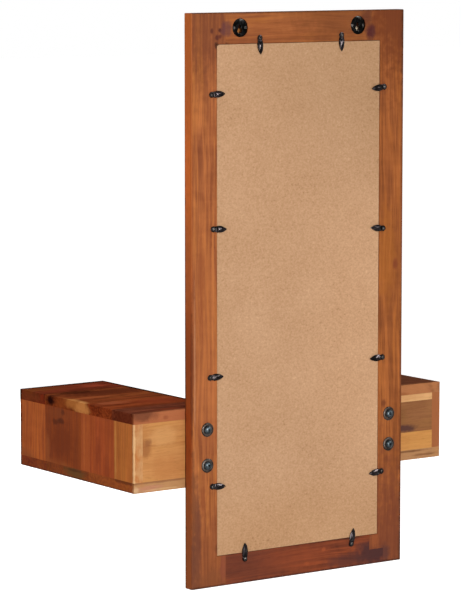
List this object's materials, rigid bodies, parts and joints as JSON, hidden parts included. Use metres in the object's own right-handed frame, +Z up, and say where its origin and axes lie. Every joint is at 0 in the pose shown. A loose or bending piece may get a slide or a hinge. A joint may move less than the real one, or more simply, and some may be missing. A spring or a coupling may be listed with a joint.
{
  "type": "wall mirror with drawers",
  "caption": "Tall wall-hung mirror in a solid wood frame, with a backing board under turn buttons, keyhole hangers and a drawer box bolted to each stile.",
  "frame": {"origin": "midway between the entry holes of the two keyhole hangers, on the outer face of the hanger plates", "axes": "+Z up along the mirror's height, +Y out of the back towards the wall, +X to the right of someone who looks into the mirror"},
  "size_m": [0.73, 0.4524, 1.08],
  "materials": {
    "frame_wood": "lacquered acacia, satin",
    "box_wood": "lacquered edge-glued acacia, satin",
    "drawer_wood": "sanded light wood",
    "plywood": "thin plywood",
    "hardboard": "plain fibreboard",
    "beech": "fluted beech dowel",
    "mirror": "silvered float glass",
    "black_steel": "black-plated pressed steel",
    "black_iron": "black powder coat",
    "bolt_steel": "burnished dark steel",
    "zinc_steel": "zinc-plated steel"
  },
  "bodies": {
    "mirror_frame": {"right_stile": "frame_wood", "left_stile": "frame_wood", "top_rail": "frame_wood", "bottom_rail": "frame_wood", "mirror_glass": "mirror", "backing_board": "hardboard", "right_hanger": "black_steel", "left_hanger": "black_steel", "hanger_screws": "black_steel", "turn_button_screws": "black_steel", "right_box_top": "box_wood", "right_box_bottom": "box_wood", "right_box_outer_side": "box_wood", "right_box_inner_side": "box_wood", "right_box_back": "box_wood", "left_box_top": "box_wood", "left_box_bottom": "box_wood", "left_box_outer_side": "box_wood", "left_box_inner_side": "box_wood", "left_box_back": "box_wood", "right_box_dowels": "beech", "left_box_dowels": "beech", "box_bolts": "bolt_steel", "bolt_washers": "bolt_steel", "threaded_inserts": "zinc_steel"},
    "right_drawer": {"right_drawer_front": "box_wood", "right_drawer_left_side": "drawer_wood", "right_drawer_right_side": "drawer_wood", "right_drawer_back": "drawer_wood", "right_drawer_bottom": "plywood", "right_drawer_knob": "black_iron", "right_drawer_knob_screw": "zinc_steel"},
    "left_drawer": {"left_drawer_front": "box_wood", "left_drawer_left_side": "drawer_wood", "left_drawer_right_side": "drawer_wood", "left_drawer_back": "drawer_wood", "left_drawer_bottom": "plywood", "left_drawer_knob": "black_iron", "left_drawer_knob_screw": "zinc_steel"},
    "turn_button_right_1": {"turn_button_right_1": "black_steel"},
    "turn_button_right_2": {"turn_button_right_2": "black_steel"},
    "turn_button_right_3": {"turn_button_right_3": "black_steel"},
    "turn_button_right_4": {"turn_button_right_4": "black_steel"},
    "turn_button_top_right": {"turn_button_top_right": "black_steel"},
    "turn_button_bottom_right": {"turn_button_bottom_right": "black_steel"},
    "turn_button_left_1": {"turn_button_left_1": "black_steel"},
    "turn_button_left_2": {"turn_button_left_2": "black_steel"},
    "turn_button_left_3": {"turn_button_left_3": "black_steel"},
    "turn_button_left_4": {"turn_button_left_4": "black_steel"},
    "turn_button_top_left": {"turn_button_top_left": "black_steel"},
    "turn_button_bottom_left": {"turn_button_bottom_left": "black_steel"}
  },
  "joints": [
    {"name": "right_drawer_slide", "type": "slide", "parent": "mirror_frame", "child": "right_drawer", "axis": [0, -1, 0], "range_m": [0, 0.28]},
    {"name": "left_drawer_slide", "type": "slide", "parent": "mirror_frame", "child": "left_drawer", "axis": [0, -1, 0], "range_m": [0, 0.28]},
    {"name": "turn_button_right_1_turn", "type": "hinge", "parent": "mirror_frame", "child": "turn_button_right_1", "pos_m": [0.204, 0.0025, -0.117], "axis": [0, 1, 0], "continuous": true},
    {"name": "turn_button_right_2_turn", "type": "hinge", "parent": "mirror_frame", "child": "turn_button_right_2", "pos_m": [0.2005, 0.0025, -0.36733], "axis": [0, 1, 0], "continuous": true},
    {"name": "turn_button_right_3_turn", "type": "hinge", "parent": "mirror_frame", "child": "turn_button_right_3", "pos_m": [0.208, 0.0025, -0.64618], "axis": [0, 1, 0], "continuous": true},
    {"name": "turn_button_right_4_turn", "type": "hinge", "parent": "mirror_frame", "child": "turn_button_right_4", "pos_m": [0.203, 0.0025, -0.853], "axis": [0, 1, 0], "continuous": true},
    {"name": "turn_button_top_right_turn", "type": "hinge", "parent": "mirror_frame", "child": "turn_button_top_right", "pos_m": [0.094, 0.0025, -0.0145], "axis": [0, 1, 0], "continuous": true},
    {"name": "turn_button_bottom_right_turn", "type": "hinge", "parent": "mirror_frame", "child": "turn_button_bottom_right", "pos_m": [0.128, 0.0025, -0.9995], "axis": [0, 1, 0], "continuous": true},
    {"name": "turn_button_left_1_turn", "type": "hinge", "parent": "mirror_frame", "child": "turn_button_left_1", "pos_m": [-0.202, 0.0025, -0.114], "axis": [0, 1, 0], "continuous": true},
    {"name": "turn_button_left_2_turn", "type": "hinge", "parent": "mirror_frame", "child": "turn_button_left_2", "pos_m": [-0.201, 0.0025, -0.38763], "axis": [0, 1, 0], "continuous": true},
    {"name": "turn_button_left_3_turn", "type": "hinge", "parent": "mirror_frame", "child": "turn_button_left_3", "pos_m": [-0.201, 0.0025, -0.63927], "axis": [0, 1, 0], "continuous": true},
    {"name": "turn_button_left_4_turn", "type": "hinge", "parent": "mirror_frame", "child": "turn_button_left_4", "pos_m": [-0.2, 0.0025, -0.864], "axis": [0, 1, 0], "continuous": true},
    {"name": "turn_button_top_left_turn", "type": "hinge", "parent": "mirror_frame", "child": "turn_button_top_left", "pos_m": [-0.098, 0.0025, -0.013], "axis": [0, 1, 0], "continuous": true},
    {"name": "turn_button_bottom_left_turn", "type": "hinge", "parent": "mirror_frame", "child": "turn_button_bottom_left", "pos_m": [-0.127, 0.0025, -1], "axis": [0, 1, 0], "continuous": true}
  ]
}
